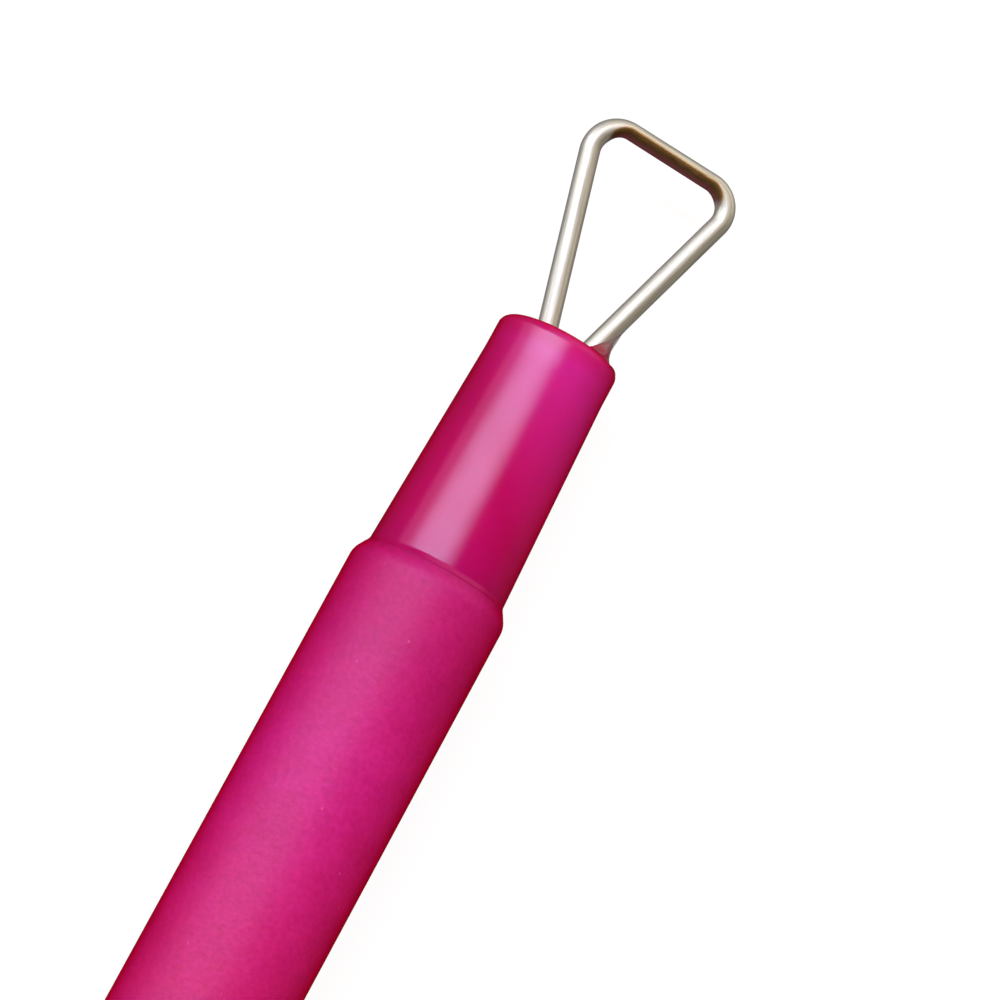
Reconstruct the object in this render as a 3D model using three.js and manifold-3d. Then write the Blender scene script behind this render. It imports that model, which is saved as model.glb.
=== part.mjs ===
// A cuticle remover: a triangle of bent wire glued into a tapered nose, on a round barrel with a tail plug.
// Millimetres, +Z up. The tool lies along X with the loop towards +X, and the loop's plane is level.
// A station is a distance along the tool's axis from the tail plug's end face.

import * as THREE from 'three';
import { mergeVertices } from 'three/addons/utils/BufferGeometryUtils.js';
import Module from 'manifold-3d';

const wasm = await Module();
wasm.setup();

// Room left all round where one piece sits in or on another
const FIT_GAP = 0.1;

// Barrel, a straight rod with a coned front rim and a blind bore in each end
const BARREL_DIAMETER = 10;
const BARREL_LENGTH = 91.8;
const BORE_DIAMETER = 5;
const BORE_ROOM = 0.5; // left past the end of a spigot
const RIM_ANGLE = 30; // slope of the cone, in degrees from the axis
const RIM_ROUNDING = 1.6; // radius between the barrel's side and the cone
const LIP_STEP = 0.16; // how far the rim's edge stands out from the nose

// Nose, a tapered moulding that sits on the barrel's mouth, with a hollow spigot in the bore
const SHOULDER_STEP = 0.59; // drop in radius from the barrel to the nose
const NOSE_LENGTH = 15.95; // from the barrel's mouth to the end face
const NOSE_TIP_DIAMETER = 7.76;
const NOSE_TIP_LAND = 2.2; // stretch behind the end face that doesn't taper
const NOSE_EDGE_ROUNDING = 0.74;
const NOSE_SPIGOT_LENGTH = 6;
const NOSE_SPIGOT_WALL = 1.3;

// Wire loop, measured on the wire's centre line
const WIRE_DIAMETER = 1.27;
const LOOP_REACH = 13.43; // from the nose's end face to the bar
const BAR_LENGTH = 10.26; // between the loop's corners before they are rounded
const LEG_SPREAD = 2.6; // between the legs at the nose's end face
const CORNER_RADIUS = 1.5;
const LEG_BEND_RADIUS = 1.5; // where the legs turn into their sockets
const LOOP_SHIFT = 0.25; // how far the legs are set to the right of the axis
const LOOP_LEAN = 0.83; // degrees that the loop leans to the right
const GRIND_OFFSET = 0.15; // from the wire's centre to the flat ground on the bar's inner side
const GRIND_TILT = 21; // degrees that the flat faces up from the handle
const GRIND_RUNOUT = 0.66; // how far the flat runs into each corner

// Leg sockets in the nose, and the glue in them
const SOCKET_DEPTH = 8;
const SOCKET_FLOOR = 1.5; // nose left solid behind the sockets
const SOCKET_CLEARANCE = 0.4; // room for glue all round a leg
const LEG_END_GLUE = 0.6; // glue under the end of a leg
const BEAD_SPREAD = 0.65; // how far a bead spreads from the leg over the end face
const BEAD_EDGE = 0.12; // thickness of a bead where it thins out on the leg
const LEFT_BEAD_HEIGHT = 0.4;
const RIGHT_BEAD_HEIGHT = 1.5;

// Tail plug
const PLUG_HEAD_LENGTH = 3;
const PLUG_EDGE_ROUNDING = 1.4;
const PLUG_SPIGOT_LENGTH = 7;
const PLUG_SPIGOT_CHAMFER = 0.5;

// Fineness of round shapes
const BODY_SIDES = 32; // a flat lies at the bottom, so that the barrel rests on it
const WIRE_SIDES = 16;
const SOCKET_SIDES = 20;
const ARC_STEPS = 5; // along a rounded edge of a profile
const BEND_STEP = 15; // degrees of a wire bend

// Radii that pieces share
const barrelRadius = BARREL_DIAMETER / 2;
const boreRadius = BORE_DIAMETER / 2;
const spigotRadius = boreRadius - FIT_GAP;
const collarRadius = barrelRadius - SHOULDER_STEP;
const noseTipRadius = NOSE_TIP_DIAMETER / 2;
const wireRadius = WIRE_DIAMETER / 2;
const channelRadius = wireRadius + FIT_GAP;
const socketRadius = wireRadius + SOCKET_CLEARANCE;

// Stations that pieces share
const barrelTail = PLUG_HEAD_LENGTH + FIT_GAP;
const mouth = barrelTail + BARREL_LENGTH;
const noseEnd = mouth + NOSE_LENGTH;
const noseSpigotEnd = mouth - NOSE_SPIGOT_LENGTH;
const plugSpigotEnd = PLUG_HEAD_LENGTH + PLUG_SPIGOT_LENGTH;

const radians = THREE.MathUtils.degToRad;
const point = (radius, station) => new THREE.Vector2(radius, station);

// Points of a rounded profile edge about a centre, between two angles from the outward direction
function arc(centre, radius, from, to) {
	return new THREE.EllipseCurve(centre.x, centre.y, radius, radius, from, to).getPoints(ARC_STEPS);
}

// A geometry's shared vertices merged, without the triangles that collapse on the axis
function weld(geometry) {
	geometry.deleteAttribute('normal');
	geometry.deleteAttribute('uv');
	const merged = mergeVertices(geometry);
	const kept = [];
	for (let i = 0; i < merged.index.count; i += 3) {
		const [a, b, c] = merged.index.array.slice(i, i + 3);
		if (a !== b && b !== c && c !== a) kept.push(a, b, c);
	}
	merged.setIndex(kept);
	return merged;
}

// Corners of a many-sided ring lie further out than its flats, which are at the true radius
const cornerFactor = (sides) => 1 / Math.cos(Math.PI / sides);

// A profile of radii and stations, turned about the tool's axis, with a flat at the bottom
function turned(profile, sides) {
	const corners = profile.map((p) => point(p.x * cornerFactor(sides), p.y));
	const geometry = new THREE.LatheGeometry(corners, sides, Math.PI / sides);
	geometry.rotateZ(-Math.PI / 2);
	return weld(geometry);
}

function solidOf(geometry) {
	const vertProperties = new Float32Array(geometry.attributes.position.array);
	const triVerts = new Uint32Array(geometry.index.array);
	return new wasm.Manifold(new wasm.Mesh({ numProp: 3, vertProperties, triVerts }));
}

function geometryOf(solid) {
	const mesh = solid.getMesh();
	const geometry = new THREE.BufferGeometry();
	geometry.setAttribute('position', new THREE.BufferAttribute(mesh.vertProperties, 3));
	geometry.setIndex(new THREE.BufferAttribute(mesh.triVerts, 1));
	return geometry;
}

// The centre line of a bent wire in its level plane: straight runs joined by round bends
class BentWire extends THREE.Curve {

	constructor(corners, bendRadii) {
		super();
		this.stops = [corners[0]];
		for (let i = 1; i < corners.length - 1; i++) {
			this.stops.push(...BentWire.bend(corners[i - 1], corners[i], corners[i + 1], bendRadii[i - 1]));
		}
		this.stops.push(corners.at(-1));
	}

	static bend(before, corner, after, radius) {
		const into = corner.clone().sub(before).normalize();
		const out = after.clone().sub(corner).normalize();
		const turn = Math.atan2(into.cross(out), into.dot(out));
		const start = corner.clone().addScaledVector(into, -radius * Math.tan(Math.abs(turn) / 2));
		const side = new THREE.Vector2(-into.y, into.x).multiplyScalar(Math.sign(turn) * radius);
		const centre = start.clone().add(side);
		const steps = Math.ceil(Math.abs(turn) / radians(BEND_STEP));
		const stops = [];
		for (let k = 0; k <= steps; k++) {
			stops.push(start.clone().rotateAround(centre, turn * k / steps));
		}
		return stops;
	}

	// Equal shares of the curve run from stop to stop, so straight runs have no rings between their ends
	getUtoTmapping(u) {
		return u;
	}

	getPoint(t, target = new THREE.Vector3()) {
		const place = t * (this.stops.length - 1);
		const before = Math.min(Math.floor(place), this.stops.length - 2);
		const at = this.stops[before].clone().lerp(this.stops[before + 1], place - before);
		return target.set(at.x, at.y, 0);
	}

}

// The loop's two sides: sideways places of the legs, and the corners of the leaning loop
const LEFT = 0;
const RIGHT = 1;
const outward = [1, -1];
const legSides = outward.map((sign) => sign * LEG_SPREAD / 2 - LOOP_SHIFT);
const loopFoot = new THREE.Vector2(noseEnd, -LOOP_SHIFT);
const loopPoint = (along, across) => new THREE.Vector2(noseEnd + along, across - LOOP_SHIFT)
	.rotateAround(loopFoot, -radians(LOOP_LEAN));
const loopCorners = outward.map((sign) => loopPoint(LOOP_REACH, sign * BAR_LENGTH / 2));

// The loop's round wire, or the channel that it leaves in the glue
function sweptLoop(radius, legDepth) {
	const foot = (side, depth) => new THREE.Vector2(noseEnd - depth, legSides[side]);
	const line = new BentWire(
		[foot(LEFT, legDepth), foot(LEFT, 0), ...loopCorners, foot(RIGHT, 0), foot(RIGHT, legDepth)],
		[LEG_BEND_RADIUS, CORNER_RADIUS, CORNER_RADIUS, LEG_BEND_RADIUS],
	);
	const rim = [];
	for (let i = 0; i < WIRE_SIDES; i++) {
		const angle = (i + 0.5) * 2 * Math.PI / WIRE_SIDES;
		const corner = radius * cornerFactor(WIRE_SIDES);
		rim.push(new THREE.Vector2(corner * Math.cos(angle), corner * Math.sin(angle)));
	}
	const options = { extrudePath: line, steps: line.stops.length - 1 };
	return solidOf(weld(new THREE.ExtrudeGeometry(new THREE.Shape(rim), options)));
}

const legDepth = SOCKET_DEPTH - LEG_END_GLUE;

// The space that grinding clears behind the bar, up to the flat
function grindSpace() {
	const cornerTurn = Math.PI / 2 + Math.atan2((BAR_LENGTH - LEG_SPREAD) / 2, LOOP_REACH);
	const straight = BAR_LENGTH - 2 * CORNER_RADIUS * Math.tan(cornerTurn / 2);
	const length = straight + 2 * GRIND_RUNOUT;
	const space = new THREE.BoxGeometry(WIRE_DIAMETER, length, 2 * WIRE_DIAMETER);
	const middle = loopPoint(LOOP_REACH, 0);
	space.translate(-GRIND_OFFSET - WIRE_DIAMETER / 2, 0, 0);
	space.rotateY(radians(GRIND_TILT));
	space.rotateZ(-radians(LOOP_LEAN));
	space.translate(middle.x, middle.y, 0);
	return solidOf(weld(space));
}

function wireLoop() {
	return geometryOf(sweptLoop(wireRadius, legDepth).subtract(grindSpace()));
}

function barrel() {
	const lipRadius = collarRadius + LIP_STEP;
	const angle = radians(RIM_ANGLE);
	const drop = barrelRadius - lipRadius;
	const rounding = Math.min(RIM_ROUNDING, drop / (1 - Math.cos(angle)));
	const coneLength = (drop - rounding * (1 - Math.cos(angle))) / Math.tan(angle);
	const rimStart = mouth - coneLength - rounding * Math.sin(angle);
	return turned([
		point(0, plugSpigotEnd + BORE_ROOM),
		point(boreRadius, plugSpigotEnd + BORE_ROOM),
		point(boreRadius, barrelTail),
		point(barrelRadius, barrelTail),
		...arc(point(barrelRadius - rounding, rimStart), rounding, 0, angle),
		point(lipRadius, mouth),
		point(boreRadius, mouth),
		point(boreRadius, noseSpigotEnd - BORE_ROOM),
		point(0, noseSpigotEnd - BORE_ROOM),
	], BODY_SIDES);
}

function socket(side) {
	const radius = socketRadius * cornerFactor(SOCKET_SIDES);
	const length = SOCKET_DEPTH + FIT_GAP;
	const hole = new THREE.CylinderGeometry(radius, radius, length, SOCKET_SIDES);
	hole.rotateZ(-Math.PI / 2);
	hole.translate(noseEnd - SOCKET_DEPTH + length / 2, legSides[side], 0);
	return solidOf(weld(hole));
}

function nose() {
	const coreRadius = spigotRadius - NOSE_SPIGOT_WALL;
	const coreEnd = noseEnd - SOCKET_DEPTH - SOCKET_FLOOR;
	const edge = point(noseTipRadius - NOSE_EDGE_ROUNDING, noseEnd - NOSE_EDGE_ROUNDING);
	const body = turned([
		point(0, coreEnd),
		point(coreRadius, coreEnd),
		point(coreRadius, noseSpigotEnd),
		point(spigotRadius, noseSpigotEnd),
		point(spigotRadius, mouth + FIT_GAP),
		point(collarRadius, mouth + FIT_GAP),
		point(noseTipRadius, noseEnd - NOSE_TIP_LAND),
		...arc(edge, NOSE_EDGE_ROUNDING, 0, Math.PI / 2),
		point(0, noseEnd),
	], BODY_SIDES);
	return geometryOf(solidOf(body).subtract(socket(LEFT)).subtract(socket(RIGHT)));
}

// The glue fills a socket round its leg, and its bead leans with the leg above the end face
function legGlue(side, beadHeight) {
	const plugRadius = socketRadius - FIT_GAP;
	const face = noseEnd + FIT_GAP;
	const foot = point(wireRadius + BEAD_SPREAD, face);
	const top = point(channelRadius + BEAD_EDGE, face + beadHeight);
	const hollow = point(top.x, face + beadHeight / 4);
	const glue = turned([
		point(0, noseEnd - SOCKET_DEPTH + FIT_GAP),
		point(plugRadius, noseEnd - SOCKET_DEPTH + FIT_GAP),
		point(plugRadius, face),
		...new THREE.QuadraticBezierCurve(foot, hollow, top).getPoints(ARC_STEPS),
		point(0, top.y),
	], SOCKET_SIDES);
	const corner = loopCorners[side];
	const lean = (corner.y - legSides[side]) / (corner.x - noseEnd);
	const places = glue.attributes.position;
	for (let i = 0; i < places.count; i++) {
		const above = Math.max(0, places.getX(i) - noseEnd);
		places.setY(i, places.getY(i) + legSides[side] + above * lean);
	}
	return geometryOf(solidOf(glue).subtract(sweptLoop(channelRadius, legDepth + FIT_GAP)));
}

function tailPlug() {
	const edge = point(barrelRadius - PLUG_EDGE_ROUNDING, PLUG_EDGE_ROUNDING);
	return turned([
		point(0, 0),
		...arc(edge, PLUG_EDGE_ROUNDING, -Math.PI / 2, 0),
		point(barrelRadius, PLUG_HEAD_LENGTH),
		point(spigotRadius, PLUG_HEAD_LENGTH),
		point(spigotRadius, plugSpigotEnd - PLUG_SPIGOT_CHAMFER),
		point(spigotRadius - PLUG_SPIGOT_CHAMFER, plugSpigotEnd),
		point(0, plugSpigotEnd),
	], BODY_SIDES);
}

// Finishes
const frostedPlastic = { color: 0xc8187a, roughness: 0.55, metalness: 0 };
const glossyPlastic = { color: 0xc4127c, roughness: 0.15, metalness: 0 };
const stainlessWire = { color: 0xc9c3b8, roughness: 0.3, metalness: 1 };
const clearGlue = { color: 0xd9c9cf, roughness: 0.1, metalness: 0 };

function piece(name, geometry, finish) {
	const mesh = new THREE.Mesh(geometry, new THREE.MeshStandardMaterial({ ...finish, flatShading: true }));
	mesh.name = name;
	return mesh;
}

const tool = new THREE.Group();
tool.add(
	piece('barrel', barrel(), frostedPlastic),
	piece('nose', nose(), glossyPlastic),
	piece('tail_plug', tailPlug(), glossyPlastic),
	piece('wire_loop', wireLoop(), stainlessWire),
	piece('left_leg_glue', legGlue(LEFT, LEFT_BEAD_HEIGHT), clearGlue),
	piece('right_leg_glue', legGlue(RIGHT, RIGHT_BEAD_HEIGHT), clearGlue),
);

// The tool lies on z = 0, with the origin under the middle of its box
const box = new THREE.Box3().setFromObject(tool);
const middle = box.getCenter(new THREE.Vector3());
tool.position.set(-middle.x, -middle.y, -box.min.z);

export default tool;
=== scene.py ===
import math

import bmesh
import bpy
from bpy.props import FloatProperty, FloatVectorProperty, PointerProperty
from mathutils import Matrix, Vector


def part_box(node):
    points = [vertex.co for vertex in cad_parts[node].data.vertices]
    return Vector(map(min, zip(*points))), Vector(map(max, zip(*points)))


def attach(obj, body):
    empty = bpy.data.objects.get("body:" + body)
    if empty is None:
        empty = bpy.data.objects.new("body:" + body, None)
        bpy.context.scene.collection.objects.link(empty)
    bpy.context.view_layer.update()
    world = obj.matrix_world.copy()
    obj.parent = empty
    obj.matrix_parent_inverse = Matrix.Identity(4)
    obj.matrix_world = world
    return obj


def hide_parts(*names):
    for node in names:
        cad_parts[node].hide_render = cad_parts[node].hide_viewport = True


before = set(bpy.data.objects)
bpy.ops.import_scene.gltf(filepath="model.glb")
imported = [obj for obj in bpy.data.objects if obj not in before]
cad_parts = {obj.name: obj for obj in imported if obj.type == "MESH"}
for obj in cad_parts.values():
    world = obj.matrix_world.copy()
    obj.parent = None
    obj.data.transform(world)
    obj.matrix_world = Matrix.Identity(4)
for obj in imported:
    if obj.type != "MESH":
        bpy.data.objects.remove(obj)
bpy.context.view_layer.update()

bl_info = {
    "name": "Cuticle Remover",
    "version": (1, 0, 0),
    "blender": (4, 5, 0),
    "location": "3D View > Sidebar > Cuticle Remover",
    "description": "Models a cuticle remover: wire loop, glossy nose, frosted barrel and tail plug",
    "category": "Object",
}

MM = 0.001
BODY = "root"

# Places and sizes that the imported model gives
barrel_low, barrel_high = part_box("barrel")
nose_low, nose_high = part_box("nose")
plug_low, plug_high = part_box("tail_plug")
wire_low, wire_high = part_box("wire_loop")
glue_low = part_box("left_leg_glue")[0]
axis = (barrel_low + barrel_high) / 2
mouth = barrel_high.x
nose_end = nose_high.x
barrel_radius = (barrel_high.z - barrel_low.z) / 2
collar_radius = (nose_high.z - nose_low.z) / 2
wire_radius = (wire_high.z - wire_low.z) / 2

# Fineness of round shapes
TURN_STEPS = 160  # facets round the handle
ARC_STEP = math.radians(4)  # along a rounded edge of an outline
FLAT_STEPS = 26  # of the wire's ring, where the bar is ground
ROUND_STEPS = 38  # of the rest of the ring
BEND_STEP = math.radians(3)  # along a wire bend
SOCKET_STEPS = 48  # facets round a socket and its glue
FOOT_STEPS = 3  # along the underside of a bead
SHARP_ANGLE = math.radians(25)  # edges that turn more than this stay crisp
MERGE_DISTANCE = 1e-4 * MM

# Sockets of a Mix node that is set to colours
COLOUR_A, COLOUR_B, COLOUR_RESULT = 6, 7, 2

POLISHED = "polished polypropylene"
POLYPROPYLENE_IOR = 1.49
BAR_RUN = 2  # the bar is the wire's third straight run, after the socket and the left leg
TINT_FADE = 0.5  # share of the flat's fading, at its end, over which its tint goes
AREA_WATTS = math.pi  # power that makes a square metre of lamp as bright as white
CAMERA_NEAR = 10 * MM

# Each lamp in words, its side and front in degrees, its distance, width and length in metres, its level,
# its feather and its cast
LAMPS = {
    "key": ("key light", 32, 16.5, 1.5, 2.9, 0.3, 13.6, 0.4, "E8ECFF"),
    "card": ("white card", -22, 56, 1.0, 2.4, 1.0, 1.2, 0.2, "FFF3E4"),
    "fill": ("low fill light", 0, -78, 1.5, 2.4, 0.5, 2.0, 0.3, "FFF8F2"),
    "wall": ("white wall", 74, 20, 1.5, 1.2, 1.5, 1.8, 0.3, "FAFAFF"),
}
GLOSS_LAMP = "wall"  # it only shows in gloss and metal


def linear(code):
    """Linear RGBA of an sRGB colour given as six hex digits."""
    parts = [int(code[at:at + 2], 16) / 255 for at in (0, 2, 4)]
    return (*(p / 12.92 if p <= 0.04045 else ((p + 0.055) / 1.055) ** 2.4 for p in parts), 1.0)


WHITE = linear("FFFFFF")


def length(name, description, metres):
    return FloatProperty(name=name, description=description, default=metres, precision=5, unit="LENGTH")


def angle(name, description, degrees):
    turn = math.radians(degrees)
    return FloatProperty(name=name, description=description, default=turn, subtype="ANGLE")


def level(name, description, value):
    return FloatProperty(name=name, description=description, default=value, min=0.0, subtype="FACTOR")


def colour(name, description, code):
    return FloatVectorProperty(
        name=name, description=description, default=linear(code),
        size=4, min=0.0, max=1.0, subtype="COLOR",
    )


def lamp_settings(lamp, words, side, front, distance, width, reach, brightness, feather, cast):
    """Properties of one lamp, each named for the lamp."""
    title = lamp.capitalize()
    settings = {
        "side": angle(f"{title} side", f"Middle of the {words}, from overhead towards the left", side),
        "front": angle(f"{title} front", f"Middle of the {words}, from overhead towards the loop", front),
        "distance": length(f"{title} distance", f"From the tool to the {words}", distance),
        "width": length(f"{title} width", f"Size of the {words} across the tool", width),
        "length": length(f"{title} length", f"Size of the {words} the other way", reach),
        "level": level(f"{title} level", f"Brightness of the {words}, where 1 is white", brightness),
        "feather": level(f"{title} feather", "Share of its width that fades out on each side", feather),
        "cast": colour(f"{title} cast", f"Colour of the light from the {words}", cast),
    }
    return {f"{lamp}_{part}": setting for part, setting in settings.items()}


class HandleSettings(bpy.types.PropertyGroup):
    """Sizes of the barrel, the nose and the tail plug"""

    fit_gap: length("Fit gap", "Room left where one piece sits in another", 0.05 * MM)
    seat_gap: length("Seat gap", "Hairline where the nose's foot sits on the barrel's rim", 0.01 * MM)
    bore_diameter: length("Bore diameter", "Blind bore in each end of the barrel", 5.0 * MM)
    bore_room: length("Bore room", "Room left past the end of a spigot", 0.5 * MM)
    tail_rounding: length("Tail rounding", "Rounding of the edges where barrel and plug meet", 0.15 * MM)
    rim_angle: angle("Rim angle", "Slope of the coned rim, from the axis", 30)
    rim_rounding: length("Rim rounding", "Radius between the barrel's side and the cone", 1.2 * MM)
    lip_step: length("Lip step", "How far the rim's edge stands out from the nose", 0.16 * MM)
    lip_rounding: length("Lip rounding", "Radius of the rim's edge", 0.05 * MM)
    nose_flare: length("Nose flare", "How far the nose's foot swells to meet the rim", 0.14 * MM)
    nose_flare_length: length("Nose flare length", "Length of the nose's swollen foot", 0.26 * MM)
    nose_flare_hollow: length("Nose flare hollow", "Radius between swollen foot and taper", 0.5 * MM)
    shoulder_rounding: length("Shoulder rounding", "Radius of the nose's edge at the mouth", 0.03 * MM)
    nose_tip_diameter: length("Nose tip diameter", "Across the nose behind its rounded end", 7.76 * MM)
    nose_tip_land: length("Nose tip land", "Stretch behind the end face that doesn't taper", 2.2 * MM)
    nose_land_blend: length("Nose land blend", "Radius between the taper and the land", 12 * MM)
    nose_edge_rounding: length("Nose edge rounding", "Radius round the end face", 0.6 * MM)
    nose_face_radius: length("Nose face radius", "Flat of the end face that holds the sockets", 3.0 * MM)
    nose_spigot_wall: length("Nose spigot wall", "Thickness of the spigot inside the barrel", 1.3 * MM)
    plug_head_length: length("Plug head length", "Length of the tail plug outside the barrel", 3 * MM)
    plug_edge_rounding: length("Plug edge rounding", "Radius round the tail plug's end face", 1.4 * MM)
    plug_chamfer: length("Plug chamfer", "Chamfer on the end of the plug's spigot", 0.5 * MM)


class LoopSettings(bpy.types.PropertyGroup):
    """Sizes of the wire loop, on the wire's centre line"""

    reach: length("Reach", "From the nose's end face to the bar", 13.33 * MM)
    bar_length: length("Bar length", "Between the corners before they are rounded", 10.26 * MM)
    leg_spread: length("Leg spread", "Between the legs at the nose's end face", 2.6 * MM)
    left_corner_radius: length("Left corner radius", "Bend radius of the left corner", 1.8 * MM)
    right_corner_radius: length("Right corner radius", "Bend radius of the right corner", 1.6 * MM)
    leg_bend_radius: length("Leg bend radius", "Bend radius where the legs enter the nose", 1.5 * MM)
    shift: length("Shift", "How far the legs are set to the right of the axis", 0.25 * MM)
    lean: angle("Lean", "How far the loop leans to the right", 0.83)
    flat_offset: length("Flat offset", "From the wire's centre to the ground flat", 0.15 * MM)
    flat_rounding: length("Flat rounding", "Breadth over which the flat's edges are worn", 0.16 * MM)
    flat_tilt: angle("Flat tilt", "How far the flat faces up from the handle", 21)
    left_run: length("Left run", "How far the flat keeps its depth into the left corner", 0.0)
    left_fade: length("Left fade", "Length over which the flat fades out in the left corner", 2.4 * MM)
    right_run: length("Right run", "How far the flat keeps its depth into the right corner", -0.5 * MM)
    right_fade: length("Right fade", "Length over which the flat fades out in the right corner", 2.8 * MM)


class GlueSettings(bpy.types.PropertyGroup):
    """Sizes of the leg sockets and of the glue in them"""

    socket_depth: length("Socket depth", "Depth of the leg sockets", 8 * MM)
    socket_floor: length("Socket floor", "Nose left solid behind the sockets", 1.5 * MM)
    socket_clearance: length("Socket clearance", "Room for glue all round a leg", 0.4 * MM)
    wetting: length("Wetting", "Reach of the glue into the wire's skin, so that no air shows", 0.02 * MM)
    film: length("Film", "Thickness of a bead where it thins out on the leg", 0.04 * MM)
    left_inner: length("Left bead, inside", "Height of the left bead towards the other leg", 0.25 * MM)
    left_outer: length("Left bead, outside", "Height of the left bead on its other side", 0.45 * MM)
    right_inner: length("Right bead, inside", "Height of the right bead towards the other leg", 0.4 * MM)
    right_outer: length("Right bead, outside", "Height of the right bead on its other side", 2.6 * MM)
    inner_spread: length("Inner spread", "How far a bead spreads towards the other leg", 0.45 * MM)
    left_spread: length("Left spread", "How far the left bead spreads on its other side", 1.0 * MM)
    right_spread: length("Right spread", "How far the right bead spreads on its other side", 1.55 * MM)


class FinishSettings(bpy.types.PropertyGroup):
    """Colours of the finishes"""

    frosted: colour("Frosted magenta", "Dye of the barrel", "CC069C")
    frosted_cloud: colour("Frosted cloud", "Where the barrel's dye is a little thinner", "DE30B4")
    # Painted shade: darkens the barrel towards its mouth, where less light reaches it
    frosted_mouth_shade: colour("Frosted mouth", "Tint of the barrel where the spigot fills it", "FFD0E4")
    frosted_rear: colour("Frosted rear", "Tint of the barrel away from its mouth", "FFFFE6")
    frosted_speck: colour("Frosted speck", "Lint and grit caught in the matt skin", "EC8CC4")
    glossy: colour("Glossy magenta", "Dye of the nose at the barrel, and of the plug", "C80A84")
    # Painted glow: light that comes through the solid nose and gathers on its right towards its end
    glossy_end_glow: colour("Glossy end", "Dye of the nose where it is solid, towards its end", "E643BE")
    # Painted shade on the nose's rounded end
    glossy_edge_shade: colour("Glossy edge", "Tint of the nose on its rounded end", "D69C9C")
    gleam: colour("Gleam", "Cast of the light that glances off the plastic", "A4F4E0")
    skin: colour("Dyed skin", "Tint of all that shows through the plastic's outermost skin", "FDA8D0")
    steel: colour("Steel", "Drawn stainless wire", "D6D5CB")
    # Near-black edge cast: painted shade that darkens the wire where it is seen aslant, as a dark room
    # would
    steel_edge_shade: colour("Steel edge", "Cast of the wire where it is seen aslant", "1C1A18")
    steel_dull: colour("Dull steel", "Drawing marks in the wire", "B4B2A6")
    # The flat's middle and lower colours are painted reflections: of the dark room and of the magenta
    # handle
    straw: colour("Straw tint", "Ground flat at its upper edge", "C8A066")
    dark_reflection_brown: colour("Brown tint", "Ground flat in its middle", "785C3A")
    handle_reflection_plum: colour("Plum tint", "Ground flat towards its lower edge", "9F6065")
    # Greyed below clear: painted shade for the dark streaks that the bead shows
    glue: colour("Glue", "Clear set adhesive", "CCB8B4")
    # Painted show-through: the nose's colour painted into the glue's foot, as it would be seen through it
    glue_foot_painted_nose: colour("Glue foot", "Adhesive at the nose, whose dye shows in it", "C80C52")
    floor: colour("Floor", "Paper under the tool, before it is lifted to white", "666666")


class StudioSettings(bpy.types.PropertyGroup):
    """Camera and light"""

    aim: FloatVectorProperty(
        name="Aim", description="Point that the camera looks at", size=3, subtype="XYZ", unit="LENGTH",
        precision=5, default=(38.416 * MM, -0.899 * MM, 5.0 * MM),
    )
    distance: length("Distance", "From the camera to its aim", 217.41 * MM)
    azimuth: angle("Azimuth", "Side of the camera, from the loop's end towards the left", 137.08)
    elevation: angle("Elevation", "Height of the camera above the floor", 75.0)
    roll: angle("Roll", "Turn of the camera about its line of sight", 72.36)
    lens: FloatProperty(name="Lens", description="Focal length in millimetres", default=133.2)
    room: colour("Room", "Dim warm room round the tool", "78664C")
    backdrop_height: angle("Backdrop height", "How far the white backdrop reaches above the horizon", 12)
    floor_lift: level("Floor lift", "Glow that lifts the floor's lit colour to white", 0.92)
    mirror_share: level("Mirror share", "How much of the background metal, gloss and glue show", 0.2)
    floor_size: length("Floor size", "Width of the floor", 6.0)


for lamp_name, lamp_values in LAMPS.items():
    StudioSettings.__annotations__.update(lamp_settings(lamp_name, *lamp_values))


class CuticleRemoverSettings(bpy.types.PropertyGroup):
    """Everything that can be set"""

    handle: PointerProperty(type=HandleSettings)
    loop: PointerProperty(type=LoopSettings)
    glue: PointerProperty(type=GlueSettings)
    finish: PointerProperty(type=FinishSettings)
    studio: PointerProperty(type=StudioSettings)


# Materials


def add(tree, kind, inputs=None, **settings):
    """Adds a shader node of a kind, applies its settings, and sets or links its inputs."""
    node = tree.nodes.new(f"ShaderNode{kind}")
    for name, value in settings.items():
        setattr(node, name, value)
    for name, value in (inputs or {}).items():
        if isinstance(value, bpy.types.NodeSocket):
            tree.links.new(value, node.inputs[name])
        else:
            node.inputs[name].default_value = value
    return node


def new_material(name):
    made = bpy.data.materials.new(name)
    made.use_nodes = True
    made.node_tree.nodes.clear()
    return made, made.node_tree


def along_tool(tree, clouds, drift, start, end, slant=0.0):
    """How far a point lies from start to end, wandering with the clouds, further on the right by slant."""
    place = add(tree, "TexCoord").outputs["Object"]
    station = add(tree, "VectorMath", {0: place, 1: (1.0, -slant, 0.0)}, operation="DOT_PRODUCT")
    drifted = add(
        tree, "Math", {0: clouds.outputs["Fac"], 1: drift, 2: station.outputs["Value"]},
        operation="MULTIPLY_ADD",
    )
    share = add(tree, "MapRange", {"Value": drifted.outputs[0], "From Min": start, "From Max": end})
    return share.outputs["Result"]


def light_let_in(tree, clouds, far, least):
    """How much light enters the plastic, which is least where rim and foot touch and pass it on."""
    near = along_tool(tree, clouds, 0.0, far, mouth)
    share = add(tree, "MapRange", {"Value": near, "To Min": 1.0, "To Max": least})
    return share.outputs["Result"]


def dyed_polypropylene(tree, finish, inputs):
    """Ends a material in what both finishes share: plastic dyed right through, under a dyed skin."""
    shader = add(
        tree, "BsdfPrincipled",
        {
            "IOR": POLYPROPYLENE_IOR,
            "Specular Tint": finish.gleam,
            "Coat Weight": 1.0,
            "Coat IOR": 1.0,  # the skin tints what passes through it, and has no gloss of its own
            "Coat Tint": finish.skin,
            "Subsurface Radius": (10.0, 4.0, 4.0),  # millimetres, with red light travelling furthest
            "Subsurface Scale": MM,
            **inputs,
        },
    )
    add(tree, "OutputMaterial", {"Surface": shader.outputs["BSDF"]})


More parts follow.
